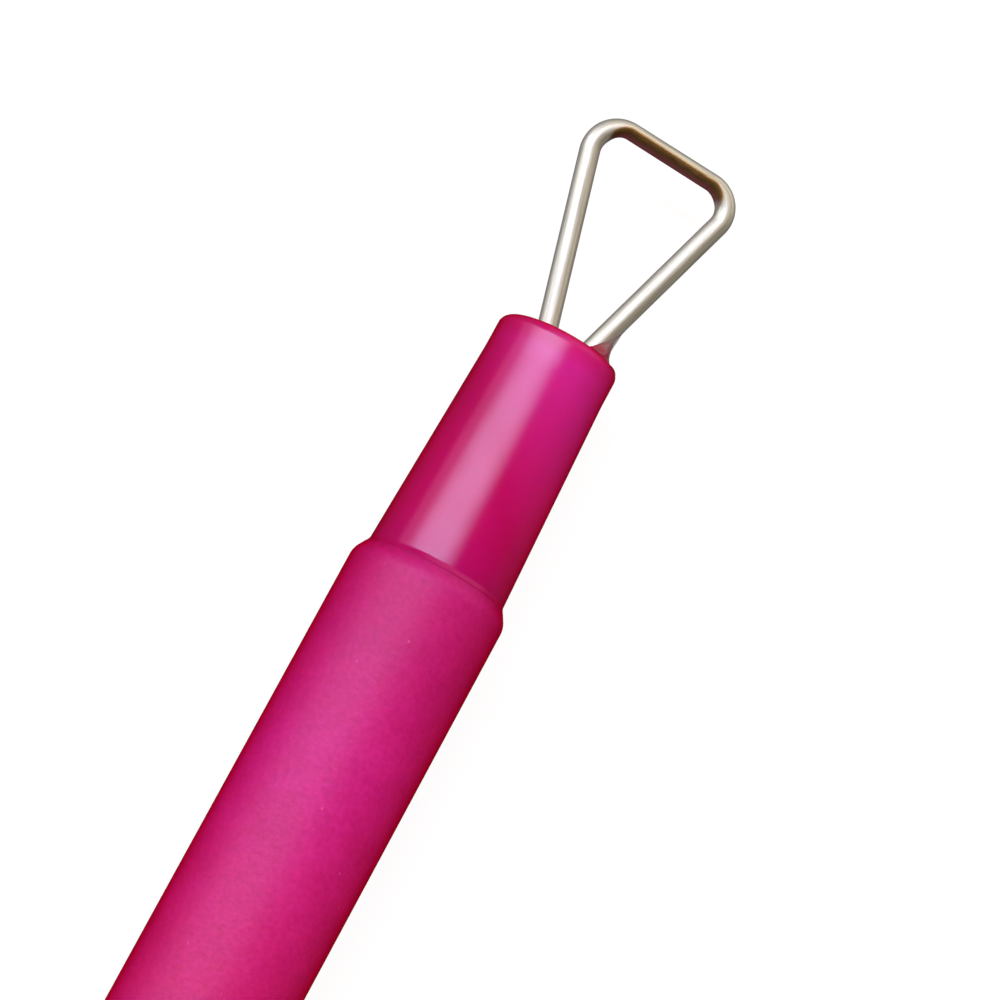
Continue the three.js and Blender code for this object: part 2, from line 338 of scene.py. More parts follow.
def frosted_polypropylene(finish):
    """Polypropylene dyed right through and moulded against blasted steel."""
    # A broad soft sheen, edges that deepen to crimson, red light that bleeds through, uneven dye, painted
    # shade towards the mouth, a fine pebble, short scuffs across the barrel and a little lint
    made, tree = new_material("frosted polypropylene")
    cloud_size = 2.6 * MM
    cloud_drift = 5.0 * MM
    mouth_shade_reach = 9.0 * MM
    rear_start = 12.0 * MM
    rear_end = 24.0 * MM
    rim_reach = 4.0 * MM
    rim_light = 0.55
    pebble_size = 0.34 * MM  # the real pebble is about 0.1 mm, drawn coarser so that it shows
    pebble_height = 0.035 * MM
    scuff_length = 0.7 * MM
    scuff_width = 0.3 * MM
    scuff_share = 0.35  # of the pebble's height
    lint_spacing = 1.4 * MM
    lint_size = 0.08 * MM
    lint_strength = 0.7
    lint_squeeze = (0.7, 1.0, 1.0)  # makes the lint longer along the tool
    place = add(tree, "TexCoord").outputs["Object"]
    clouds = add(
        tree, "TexNoise", {"Vector": place, "Scale": 1 / cloud_size, "Detail": 5.0, "Roughness": 0.65}
    )
    pebble = add(tree, "TexNoise", {"Vector": place, "Scale": 1 / pebble_size, "Detail": 3.0})
    uneven = add(tree, "Math", {0: clouds.outputs["Fac"], 1: pebble.outputs["Fac"]}, operation="ADD")
    mottle = add(tree, "MapRange", {"Value": uneven.outputs[0], "From Min": 0.7, "From Max": 1.3})
    dye = add(
        tree, "Mix",
        {"Factor": mottle.outputs["Result"], COLOUR_A: finish.frosted, COLOUR_B: finish.frosted_cloud},
        data_type="RGBA",
    )
    # The first tint multiplies in painted shade towards the mouth; the second makes the dye redder away
    # from it
    for tint, start, end in (
        (finish.frosted_mouth_shade, mouth - mouth_shade_reach, mouth),
        (finish.frosted_rear, mouth - rear_start, mouth - rear_end),
    ):
        dye = add(
            tree, "Mix",
            {
                "Factor": along_tool(tree, clouds, cloud_drift, start, end),
                COLOUR_A: dye.outputs[COLOUR_RESULT],
                COLOUR_B: tint,
            },
            data_type="RGBA", blend_type="MULTIPLY",
        )
    lint_place = add(tree, "Mapping", {"Vector": place, "Scale": lint_squeeze})
    lint = add(
        tree, "TexVoronoi",
        {"Vector": lint_place.outputs["Vector"], "Scale": 1 / lint_spacing, "Randomness": 1.0},
    )
    speck = add(
        tree, "MapRange",
        {
            "Value": lint.outputs["Distance"],
            "From Min": 0.5 * lint_size / lint_spacing,
            "From Max": lint_size / lint_spacing,
            "To Min": lint_strength,
            "To Max": 0.0,
        },
    )
    skin = add(
        tree, "Mix",
        {
            "Factor": speck.outputs["Result"],
            COLOUR_A: dye.outputs[COLOUR_RESULT],
            COLOUR_B: finish.frosted_speck,
        },
        data_type="RGBA",
    )
    scuff_place = add(
        tree, "Mapping", {"Vector": place, "Scale": (scuff_length / scuff_width, 1.0, 1.0)}
    )
    scuffs = add(
        tree, "TexNoise",
        {"Vector": scuff_place.outputs["Vector"], "Scale": 1 / scuff_length, "Detail": 2.0},
    )
    relief = add(
        tree, "Math", {0: scuffs.outputs["Fac"], 1: scuff_share, 2: pebble.outputs["Fac"]},
        operation="MULTIPLY_ADD",
    )
    bump = add(tree, "Bump", {"Height": relief.outputs[0], "Distance": pebble_height})
    roughness = add(tree, "MapRange", {"Value": clouds.outputs["Fac"], "To Min": 0.46, "To Max": 0.56})
    dyed_polypropylene(
        tree, finish,
        {
            "Base Color": skin.outputs[COLOUR_RESULT],
            "Roughness": roughness.outputs["Result"],
            "Specular IOR Level": 1.0,
            "Coat Roughness": 0.5,
            "Subsurface Weight": light_let_in(tree, clouds, mouth - rim_reach, rim_light),
            "Normal": bump.outputs["Normal"],
        },
    )
    return made


def polished_polypropylene(finish):
    """Polypropylene dyed the same, moulded against polished steel."""
    # A clear streak of the light, a slight waviness in it, finger haze that dulls it in patches, a painted
    # glow where light comes through the solid nose, stronger on its right towards its end, and painted
    # shade on its rounded end
    made, tree = new_material(POLISHED)
    cloud_size = 4.0 * MM
    cloud_drift = 2.0 * MM
    painted_glow_reach = 9.0 * MM
    painted_glow_slant = 1.4
    edge_reach = 1.6 * MM
    foot_reach = 3.0 * MM
    foot_light = 0.3
    wave_size = 3.2 * MM
    wave_height = 0.008 * MM
    haze_size = 1.1 * MM
    place = add(tree, "TexCoord").outputs["Object"]
    clouds = add(tree, "TexNoise", {"Vector": place, "Scale": 1 / cloud_size, "Detail": 2.0})
    # Painted glow where light comes through the solid nose, reaching further back on its right by the
    # slant
    solid = along_tool(tree, clouds, cloud_drift, nose_end - painted_glow_reach, nose_end, painted_glow_slant)
    dye = add(
        tree, "Mix", {"Factor": solid, COLOUR_A: finish.glossy, COLOUR_B: finish.glossy_end_glow},
        data_type="RGBA",
    )
    # Painted shade, multiplied in over the rounded end
    dye = add(
        tree, "Mix",
        {
            "Factor": along_tool(tree, clouds, 0.0, nose_end - edge_reach, nose_end),
            COLOUR_A: dye.outputs[COLOUR_RESULT],
            COLOUR_B: finish.glossy_edge_shade,
        },
        data_type="RGBA", blend_type="MULTIPLY",
    )
    haze = add(tree, "TexNoise", {"Vector": place, "Scale": 1 / haze_size, "Detail": 4.0})
    roughness = add(tree, "MapRange", {"Value": haze.outputs["Fac"], "To Min": 0.14, "To Max": 0.24})
    waves = add(tree, "TexNoise", {"Vector": place, "Scale": 1 / wave_size, "Detail": 1.0})
    bump = add(tree, "Bump", {"Height": waves.outputs["Fac"], "Distance": wave_height})
    dyed_polypropylene(
        tree, finish,
        {
            "Base Color": dye.outputs[COLOUR_RESULT],
            "Roughness": roughness.outputs["Result"],
            "Specular IOR Level": 0.75,
            "Coat Roughness": 0.18,
            "Subsurface Weight": light_let_in(tree, clouds, mouth + foot_reach, foot_light),
            "Normal": bump.outputs["Normal"],
        },
    )
    return made


def drawn_out(tree, wire_place, width, run):
    """Marks of a width that run along the wire."""
    drawn = add(tree, "Mapping", {"Vector": wire_place, "Scale": (1.0, 1.0, width / run)})
    return add(tree, "TexNoise", {"Vector": drawn.outputs["Vector"], "Scale": 1 / width, "Detail": 3.0})


def drawn_stainless(finish):
    """Stainless wire drawn through a die, with a ground flat whose colours are partly painted reflections.
    """
    # Satin steel with marks along the wire; across the flat a straw upper edge, a painted dark reflection
    # of the room in its middle and a painted reddish reflection of the magenta handle towards its lower
    # edge
    made, tree = new_material("drawn stainless steel")
    mark_width = 0.11 * MM  # real drawing marks are far finer, drawn coarser so that they show
    mark_length = 3.5 * MM
    mark_height = 0.001 * MM
    grit_width = 0.2 * MM
    grit_length = 0.8 * MM
    grit_drift = 1.2  # in wire radii, how far the grit frays the edges of the tints
    straw_range = (0.8, 1.7)  # in wire radii up the flat, where the tint starts and where it is full
    plum_reflection_range = (0.7, 0.05)
    wire_place = add(tree, "Attribute", attribute_name="wire_place").outputs["Vector"]
    marks = drawn_out(tree, wire_place, mark_width, mark_length)
    dulled = add(tree, "MapRange", {"Value": marks.outputs["Fac"], "From Min": 0.4, "From Max": 0.75})
    steel = add(
        tree, "Mix",
        {"Factor": dulled.outputs["Result"], COLOUR_A: finish.steel, COLOUR_B: finish.steel_dull},
        data_type="RGBA",
    )
    flat_place = add(tree, "Attribute", attribute_name="flat_place").outputs["Vector"]
    flat = add(tree, "SeparateXYZ", {"Vector": flat_place})
    grit = drawn_out(tree, wire_place, grit_width, grit_length)
    across = add(
        tree, "Math", {0: grit.outputs["Fac"], 1: grit_drift, 2: flat.outputs["Y"]},
        operation="MULTIPLY_ADD",
    )
    # From the painted dark reflection in the middle, to straw at the upper edge and to the painted
    # reflection of the handle at the lower edge
    tint = finish.dark_reflection_brown
    for next_tint, (start, full) in ((finish.straw, straw_range), (finish.handle_reflection_plum, plum_reflection_range)):
        share = add(tree, "MapRange", {"Value": across.outputs[0], "From Min": start, "From Max": full})
        mixed = add(
            tree, "Mix", {"Factor": share.outputs["Result"], COLOUR_A: tint, COLOUR_B: next_tint},
            data_type="RGBA",
        )
        tint = mixed.outputs[COLOUR_RESULT]
    face = add(
        tree, "Mix",
        {"Factor": flat.outputs["X"], COLOUR_A: steel.outputs[COLOUR_RESULT], COLOUR_B: tint},
        data_type="RGBA",
    )
    roughness = add(tree, "MapRange", {"Value": marks.outputs["Fac"], "To Min": 0.46, "To Max": 0.58})
    bump = add(tree, "Bump", {"Height": marks.outputs["Fac"], "Distance": mark_height})
    shader = add(
        tree, "BsdfPrincipled",
        {
            "Base Color": face.outputs[COLOUR_RESULT],
            "Metallic": 1.0,
            "Roughness": roughness.outputs["Result"],
            # The dark edge cast paints shade on the wire's edges
            "Specular Tint": finish.steel_edge_shade,
            "Normal": bump.outputs["Normal"],
        },
    )
    add(tree, "OutputMaterial", {"Surface": shader.outputs["BSDF"]})
    return made


def set_adhesive(finish):
    """Clear adhesive that has run up the wire and set."""
    # A wet gloss, the wire and the nose seen through it, the nose's colour painted into its foot as though
    # seen through it, and a skin that has shrunk unevenly
    made, tree = new_material("clear set adhesive")
    show_through_start = 1.2 * MM
    show_through_end = 2.0 * MM
    show_through_drift = 0.8 * MM
    shrink_size = 0.7 * MM
    shrink_height = 0.06 * MM
    place = add(tree, "TexCoord").outputs["Object"]
    shrink = add(tree, "TexNoise", {"Vector": place, "Scale": 1 / shrink_size, "Detail": 2.0})
    bump = add(tree, "Bump", {"Height": shrink.outputs["Fac"], "Distance": shrink_height})
    # Where the glue's foot takes the painted colour of the nose seen through it
    clear = along_tool(tree, shrink, show_through_drift, nose_end + show_through_start, nose_end + show_through_end)
    tone = add(
        tree, "Mix", {"Factor": clear, COLOUR_A: finish.glue_foot_painted_nose, COLOUR_B: finish.glue},
        data_type="RGBA",
    )
    roughness = add(tree, "MapRange", {"Value": shrink.outputs["Fac"], "To Min": 0.03, "To Max": 0.06})
    shader = add(
        tree, "BsdfPrincipled",
        {
            "Base Color": tone.outputs[COLOUR_RESULT],
            "Roughness": roughness.outputs["Result"],
            "IOR": 1.5,
            "Transmission Weight": 0.6,
            "Normal": bump.outputs["Normal"],
        },
    )
    add(tree, "OutputMaterial", {"Surface": shader.outputs["BSDF"]})
    return made


def background_rays(tree, studio):
    """How much of the background a ray shows: all of it straight, a share in a mirror or through glue."""
    path = add(tree, "LightPath")
    indirect = add(
        tree, "Math", {0: path.outputs["Is Glossy Ray"], 1: path.outputs["Is Transmission Ray"]},
        operation="MAXIMUM",
    )
    shown = add(
        tree, "Math", {0: indirect.outputs[0], 1: studio.mirror_share, 2: path.outputs["Is Camera Ray"]},
        operation="MULTIPLY_ADD",
    )
    return shown.outputs[0]


def paper_sweep(finish, studio):
    """Matt white paper, lifted to white where the background shows."""
    # A bare white ground, with a fine tooth, that takes the tool's soft shadow
    made, tree = new_material("white paper sweep")
    tooth_size = 0.6 * MM
    tooth_height = 0.01 * MM
    place = add(tree, "TexCoord").outputs["Object"]
    tooth = add(tree, "TexNoise", {"Vector": place, "Scale": 1 / tooth_size, "Detail": 2.0})
    bump = add(tree, "Bump", {"Height": tooth.outputs["Fac"], "Distance": tooth_height})
    paper = add(tree, "BsdfDiffuse", {"Color": finish.floor, "Normal": bump.outputs["Normal"]})
    lift = add(
        tree, "Math", {0: background_rays(tree, studio), 1: studio.floor_lift}, operation="MULTIPLY"
    )
    glow = add(tree, "Emission", {"Strength": lift.outputs[0]})
    both = add(tree, "AddShader", {0: paper.outputs[0], 1: glow.outputs[0]})
    add(tree, "OutputMaterial", {"Surface": both.outputs[0]})
    return made


# Shapes


def draw_outline(bm, corners):
    """Draws an outline of (station, radius, rounding) corners beside the X axis, and rounds them."""
    points = [bm.verts.new((station, 0.0, radius)) for station, radius, _ in corners]
    for start, end in zip(points, points[1:]):
        bm.edges.new((start, end))
    for point, (_, _, rounding) in zip(points, corners):
        if rounding:
            before, after = (edge.other_vert(point).co - point.co for edge in point.link_edges)
            turn = math.pi - before.angle(after)
            bmesh.ops.bevel(
                bm, geom=[point], offset=rounding * math.tan(turn / 2), offset_type="OFFSET",
                affect="VERTICES", segments=math.ceil(turn / ARC_STEP), profile=0.5, material=-1,
            )


def turned(corners, steps=TURN_STEPS):
    """Turns an outline about the X axis."""
    bm = bmesh.new()
    draw_outline(bm, corners)
    bmesh.ops.spin(
        bm, geom=bm.verts[:] + bm.edges[:], cent=(0, 0, 0), axis=(1, 0, 0), angle=math.tau, steps=steps,
        use_merge=True,
    )
    close_up(bm)
    return bm


def close_up(bm):
    """Merges what meets, on the axis too, and points the faces outwards."""
    bmesh.ops.remove_doubles(bm, verts=bm.verts[:], dist=MERGE_DISTANCE)
    bmesh.ops.recalc_face_normals(bm, faces=bm.faces[:])


def extend(bm, edges):
    """Grows a ring of edges by one ring, and gives the new ring's edges and vertices."""
    grown = bmesh.ops.extrude_edge_only(bm, edges=edges)["geom"]
    new_edges = [part for part in grown if isinstance(part, bmesh.types.BMEdge)]
    new_verts = [part for part in grown if isinstance(part, bmesh.types.BMVert)]
    rim = [edge for edge in new_edges if edge.is_boundary]
    return rim, new_verts


def soft_step(share):
    """Rises from nought to one with the share, and has soft ends."""
    share = min(1.0, max(0.0, share))
    return share * share * (3.0 - 2.0 * share)


def place_piece(bm, name, node, material):
    """Makes a mesh a piece that stands for a CAD node."""
    for face in bm.faces:
        face.smooth = True
    for edge in bm.edges:
        edge.smooth = edge.calc_face_angle(0.0) < SHARP_ANGLE
    mesh = bpy.data.meshes.new(name)
    bm.to_mesh(mesh)
    bm.free()
    mesh.materials.append(material)
    piece = bpy.data.objects.new(name, mesh)
    bpy.context.scene.collection.objects.link(piece)
    even = piece.modifiers.new("even shading", "WEIGHTED_NORMAL")
    even.keep_sharp = True
    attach(piece, BODY)
    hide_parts(node)


def leg_sides(loop):
    """Sideways places of the left and the right leg."""
    middle = axis.y - loop.shift
    return middle + loop.leg_spread / 2, middle - loop.leg_spread / 2


def loop_corners(loop):
    """The loop's left and right corner, leaning with the loop about its foot."""
    foot = Vector((nose_end, axis.y - loop.shift, axis.z))
    lean = Matrix.Rotation(-loop.lean, 3, "Z")
    half = loop.bar_length / 2
    return [foot + lean @ Vector((loop.reach, side, 0.0)) for side in (half, -half)]


class CUTICLE_OT_barrel(bpy.types.Operator):
    """Models the frosted barrel, a rod with a coned rim and a blind bore in each end"""

    bl_idname = "cuticle_remover.barrel"
    bl_label = "Barrel"

    def execute(self, context):
        settings = context.scene.cuticle_remover
        sizes = settings.handle
        bore = sizes.bore_diameter / 2
        plug_bore_end = plug_high.x + sizes.bore_room
        nose_bore_end = nose_low.x - sizes.bore_room
        lip = collar_radius + sizes.lip_step
        cone_start = mouth - (barrel_radius - lip) / math.tan(sizes.rim_angle)
        bm = turned(
            [
                (plug_bore_end, 0.0, 0.0),
                (plug_bore_end, bore, 0.0),
                (barrel_low.x, bore, 0.0),
                (barrel_low.x, barrel_radius, sizes.tail_rounding),
                (cone_start, barrel_radius, sizes.rim_rounding),
                (mouth, lip, sizes.lip_rounding),
                (mouth, bore, 0.0),
                (nose_bore_end, bore, 0.0),
                (nose_bore_end, 0.0, 0.0),
            ]
        )
        bmesh.ops.translate(bm, vec=(0.0, axis.y, axis.z), verts=bm.verts[:])
        material = frosted_polypropylene(settings.finish)
        place_piece(bm, "frosted_barrel", "barrel", material)
        return {"FINISHED"}


class CUTICLE_OT_nose(bpy.types.Operator):
    """Models the glossy nose, with the two sockets for the legs in its end face"""

    bl_idname = "cuticle_remover.nose"
    bl_label = "Nose"

    def execute(self, context):
        settings = context.scene.cuticle_remover
        sizes, glue = settings.handle, settings.glue
        tip = sizes.nose_tip_diameter / 2
        spigot = sizes.bore_diameter / 2 - sizes.fit_gap
        core = spigot - sizes.nose_spigot_wall
        core_end = nose_end - glue.socket_depth - glue.socket_floor
        seat = mouth + sizes.seat_gap
        bm = turned(
            [
                (core_end, 0.0, 0.0),
                (core_end, core, 0.0),
                (nose_low.x, core, 0.0),
                (nose_low.x, spigot, 0.0),
                (seat, spigot, 0.0),
                (seat, collar_radius + sizes.nose_flare, sizes.shoulder_rounding),
                (seat + sizes.nose_flare_length, collar_radius, sizes.nose_flare_hollow),
                (nose_end - sizes.nose_tip_land, tip, sizes.nose_land_blend),
                (nose_end, tip, sizes.nose_edge_rounding),
                (nose_end, sizes.nose_face_radius, 0.0),
            ]
        )
        bmesh.ops.translate(bm, vec=(0.0, axis.y, axis.z), verts=bm.verts[:])
        rim = [edge for edge in bm.edges if edge.is_boundary]
        sockets = [self.draw_socket(bm, side, glue) for side in leg_sides(settings.loop)]
        edges = rim + sum(sockets, [])
        bmesh.ops.triangle_fill(bm, edges=edges, use_beauty=True, normal=(1.0, 0.0, 0.0))
        for socket in sockets:
            floor, moved = extend(bm, socket)
            bmesh.ops.translate(bm, vec=(-glue.socket_depth, 0.0, 0.0), verts=moved)
            bmesh.ops.edgeloop_fill(bm, edges=floor)
        close_up(bm)
        material = polished_polypropylene(settings.finish)
        place_piece(bm, "glossy_nose", "nose", material)
        return {"FINISHED"}

    @staticmethod
    def draw_socket(bm, side, glue):
        """Draws the circle of a socket on the end face, and gives its edges."""
        place = Matrix.Translation((nose_end, side, axis.z)) @ Matrix.Rotation(math.pi / 2, 4, "Y")
        radius = wire_radius + glue.socket_clearance
        circle = bmesh.ops.create_circle(bm, segments=SOCKET_STEPS, radius=radius, matrix=place)
        return list({edge for vert in circle["verts"] for edge in vert.link_edges})


class CUTICLE_OT_tail_plug(bpy.types.Operator):
    """Models the glossy plug in the barrel's tail, in the nose's plastic"""

    bl_idname = "cuticle_remover.tail_plug"
    bl_label = "Tail plug"

    def execute(self, context):
        sizes = context.scene.cuticle_remover.handle
        head_end = plug_low.x + sizes.plug_head_length
        spigot = sizes.bore_diameter / 2 - sizes.fit_gap
        bm = turned(
            [
                (plug_low.x, 0.0, 0.0),
                (plug_low.x, barrel_radius, sizes.plug_edge_rounding),
                (head_end, barrel_radius, sizes.tail_rounding),
                (head_end, spigot, 0.0),
                (plug_high.x - sizes.plug_chamfer, spigot, 0.0),
                (plug_high.x, spigot - sizes.plug_chamfer, 0.0),
                (plug_high.x, 0.0, 0.0),
            ]
        )
        bmesh.ops.translate(bm, vec=(0.0, axis.y, axis.z), verts=bm.verts[:])
        material = bpy.data.materials[POLISHED]
        place_piece(bm, "glossy_tail_plug", "tail_plug", material)
        return {"FINISHED"}


class DrawnWire:
    """A ring of edges drawn along straight runs and round bends, which keeps where each ring lies"""

    def __init__(self, start, heading, flat_half_angle, flat_tilt):
        self.bm = bmesh.new()
        self.wire_place = self.bm.verts.layers.float_vector.new("wire_place")
        self.flat_place = self.bm.verts.layers.float_vector.new("flat_place")
        self.here = start.copy()
        self.heading = heading.copy()
        self.along = 0.0
        self.flat_tilt = flat_tilt
        self.rings = []
        self.runs = []
        self.edges = self.draw_ring(flat_half_angle)
        bmesh.ops.edgeloop_fill(self.bm, edges=self.edges)

    def flat_axes(self):
        """Directions square to the flat and across it, at the present heading."""
        upward = Vector((0.0, 0.0, 1.0))
        inward = self.heading.cross(upward)
        square = inward * math.cos(self.flat_tilt) + upward * math.sin(self.flat_tilt)
        across = upward * math.cos(self.flat_tilt) - inward * math.sin(self.flat_tilt)
        return square, across

    def draw_ring(self, flat_half_angle):
        """Spins one vertex round the wire, with vertices where the flat will have its edges."""
        square, across = self.flat_axes()
        start = math.cos(flat_half_angle) * square - math.sin(flat_half_angle) * across
        vert = self.bm.verts.new(self.here + start * wire_radius)
        flat_sweep = 2 * flat_half_angle
        for sweep, steps in ((flat_sweep, FLAT_STEPS), (math.tau - flat_sweep, ROUND_STEPS)):
            spun = bmesh.ops.spin(
                self.bm, geom=[vert], cent=self.here, axis=square.cross(across), angle=sweep, steps=steps
            )
            vert = next(part for part in spun["geom_last"] if isinstance(part, bmesh.types.BMVert))
        bmesh.ops.remove_doubles(self.bm, verts=self.bm.verts[:], dist=MERGE_DISTANCE)
        for vert in self.bm.verts:
            offset = vert.co - self.here
            vert[self.wire_place] = (offset.dot(square), offset.dot(across), 0.0)
        self.keep_ring(self.bm.verts[:])
        return self.bm.edges[:]

    def keep_ring(self, verts):
        """Notes where the newest ring lies, and how far along the wire its vertices are."""
        for vert in verts:
            vert[self.wire_place] = (*vert[self.wire_place].xy, self.along)
        self.rings.append((self.along, self.here.copy(), *self.flat_axes(), verts))

    def run(self, end):
        """Draws the ring straight on."""
        start = self.along
        self.edges, verts = extend(self.bm, self.edges)
        bmesh.ops.translate(self.bm, vec=end - self.here, verts=verts)
        self.along += (end - self.here).length
        self.here = end.copy()
        self.keep_ring(verts)
        self.runs.append((start, self.along))

    def bend(self, radius, turn):
        """Draws the ring round a bend, to the left where the turn is positive."""
        steps = math.ceil(abs(turn) / BEND_STEP)
        side = Vector((0.0, 0.0, math.copysign(1.0, turn))).cross(self.heading)
        centre = self.here + side * radius
        step = Matrix.Rotation(turn / steps, 3, "Z")
        for _ in range(steps):
            self.edges, verts = extend(self.bm, self.edges)
            bmesh.ops.rotate(self.bm, cent=centre, matrix=step, verts=verts)
            self.here = centre + step @ (self.here - centre)
            self.heading = step @ self.heading
            self.along += radius * abs(turn) / steps
            self.keep_ring(verts)

    def follow(self, corners, radii):
        """Draws the wire through corners, rounded with their bend radii, and closes its end."""
        for before, corner, after, radius in zip(corners, corners[1:], corners[2:], radii):
            into = (corner - before).normalized()
            out = (after - corner).normalized()
            turn = math.atan2(into.cross(out).z, into.dot(out))
            self.run(corner - into * radius * math.tan(abs(turn) / 2))
            self.bend(radius, turn)
        self.run(corners[-1])
        bmesh.ops.edgeloop_fill(self.bm, edges=self.edges)

    def grind(self, run, flat_offset, rounding, fade_at):
        """Presses the inner side of a run, and of the bends beside it, onto a flat that fades out."""
        for along, centre, square, across, verts in self.rings:
            fade = fade_at(along, *self.runs[run])
            depth = flat_offset + (wire_radius - flat_offset) * fade
            for vert in verts:
                offset = vert.co - centre
                excess = offset.dot(square) - depth
                # How much of the flat's colours, partly painted reflections, a vertex takes
                flat_colour_share = soft_step(1.0 + excess / rounding) * soft_step((1.0 - fade) / TINT_FADE)
                vert[self.flat_place] = (flat_colour_share, offset.dot(across) / wire_radius, 0.0)
                # A parabola wears the edge round where the flat meets the wire's side
                worn = max(0.0, rounding * (1.0 - fade) - abs(excess)) ** 2 / (4.0 * rounding)
                vert.co -= square * (max(0.0, excess) + worn)


class CUTICLE_OT_wire_loop(bpy.types.Operator):
    """Models the wire loop, bent from one length of wire, and grinds its bar flat"""

    bl_idname = "cuticle_remover.wire_loop"
    bl_label = "Wire loop"

    def execute(self, context):
        settings = context.scene.cuticle_remover
        loop = settings.loop
        left, right = (Vector((nose_end, side, axis.z)) for side in leg_sides(loop))
        left_end, right_end = (Vector((wire_low.x, foot.y, foot.z)) for foot in (left, right))
        flat_half_angle = math.acos(loop.flat_offset / wire_radius)
        wire = DrawnWire(left_end, Vector((1.0, 0.0, 0.0)), flat_half_angle, loop.flat_tilt)
        corner_radii = (loop.left_corner_radius, loop.right_corner_radius)
        wire.follow(
            [left_end, left, *loop_corners(loop), right, right_end],
            [loop.leg_bend_radius, *corner_radii, loop.leg_bend_radius],
        )

        def flat_fade(along, start, end):
            """None along the bar, then softly to one in the corners."""
            before = max(0.0, start - loop.left_run - along) / loop.left_fade
            after = max(0.0, along - end - loop.right_run) / loop.right_fade
            return soft_step(before + after)

        wire.grind(BAR_RUN, loop.flat_offset, loop.flat_rounding, flat_fade)
        close_up(wire.bm)
        material = drawn_stainless(settings.finish)
        place_piece(wire.bm, "bent_wire_loop", "wire_loop", material)
        return {"FINISHED"}


class CUTICLE_OT_leg_glue(bpy.types.Operator):
    """Models the glue in the two sockets, with the beads that climb the legs"""

    bl_idname = "cuticle_remover.leg_glue"
    bl_label = "Leg glue"

    def execute(self, context):
        settings = context.scene.cuticle_remover
        glue = settings.glue
        material = set_adhesive(settings.finish)
        beads = (
            (glue.left_inner, glue.left_outer, glue.left_spread),
            (glue.right_inner, glue.right_outer, glue.right_spread),
        )
        names = ("left", "right")
        outward = (1.0, -1.0)
        sides = leg_sides(settings.loop)
        corners = loop_corners(settings.loop)
        for name, sign, side, corner, bead in zip(names, outward, sides, corners, beads):
            bm = self.turn_plug(settings, bead[-1])
            lean = (corner.y - side) / (corner.x - nose_end)
            self.run_up(bm, settings, sign, bead, lean)
            bmesh.ops.translate(bm, vec=(0.0, side, axis.z), verts=bm.verts[:])
            self.drape(bm, settings.handle)
            place_piece(bm, f"{name}_glue_bead", f"{name}_leg_glue", material)
        return {"FINISHED"}

    @staticmethod
    def turn_plug(settings, spread):
        """Turns the glue in a socket, with an even bead on the end face that hollows to the leg."""
        glue = settings.glue
        gap = settings.handle.fit_gap
        plug = wire_radius + glue.socket_clearance - gap
        channel = wire_radius - glue.wetting
        waist = wire_radius + glue.film
        face = nose_end + gap
        foot = waist + spread
        top = face + glue.film + spread
        underside = [plug + (foot - plug) * step / FOOT_STEPS for step in range(FOOT_STEPS + 1)]
        return turned(
            [
                (glue_low.x, 0.0, 0.0),
                (glue_low.x, plug, 0.0),
                *((face, radius, 0.0) for radius in underside),
                (face + glue.film, foot, 0.0),
                (face + glue.film, waist, spread - glue.film),
                (top, waist, 0.0),
                (top, channel, 0.0),
                (wire_low.x, channel, 0.0),
                (wire_low.x, 0.0, 0.0),
            ],
            steps=SOCKET_STEPS,
        )

    @staticmethod
    def run_up(bm, settings, outward, bead, lean):
        """Draws an even bead in on its inner side, lets it climb on its outer side, and leans it."""
        glue = settings.glue
        face = nose_end + settings.handle.fit_gap
        waist = wire_radius + glue.film
        inner, outer, outer_spread = bead
        for vert in bm.verts:
            radial = Vector((0.0, vert.co.y, vert.co.z))
            if vert.co.x < face - MERGE_DISTANCE or radial.length < MERGE_DISTANCE:
                continue
            share = (1.0 + outward * radial.y / radial.length) / 2
            spread = glue.inner_spread + (outer_spread - glue.inner_spread) * share
            height = inner + (outer - inner) * share ** 2
            if radial.length > waist:
                out = waist + (radial.length - waist) * spread / outer_spread
                vert.co += radial.normalized() * (out - radial.length)
            vert.co.x = face + (vert.co.x - face) * height / outer_spread
            vert.co.y += lean * (vert.co.x - nose_end)

    @staticmethod
    def drape(bm, sizes):
        """Lets a bead's foot down over the rounded edge of the nose's end face."""
        rounding = sizes.nose_edge_rounding
        flat = sizes.nose_tip_diameter / 2 - rounding
        for vert in bm.verts:
            over = math.hypot(vert.co.y - axis.y, vert.co.z - axis.z) - flat
            if vert.co.x > nose_end and over > 0.0:
                vert.co.x -= rounding - math.sqrt(rounding ** 2 - min(over, rounding) ** 2)


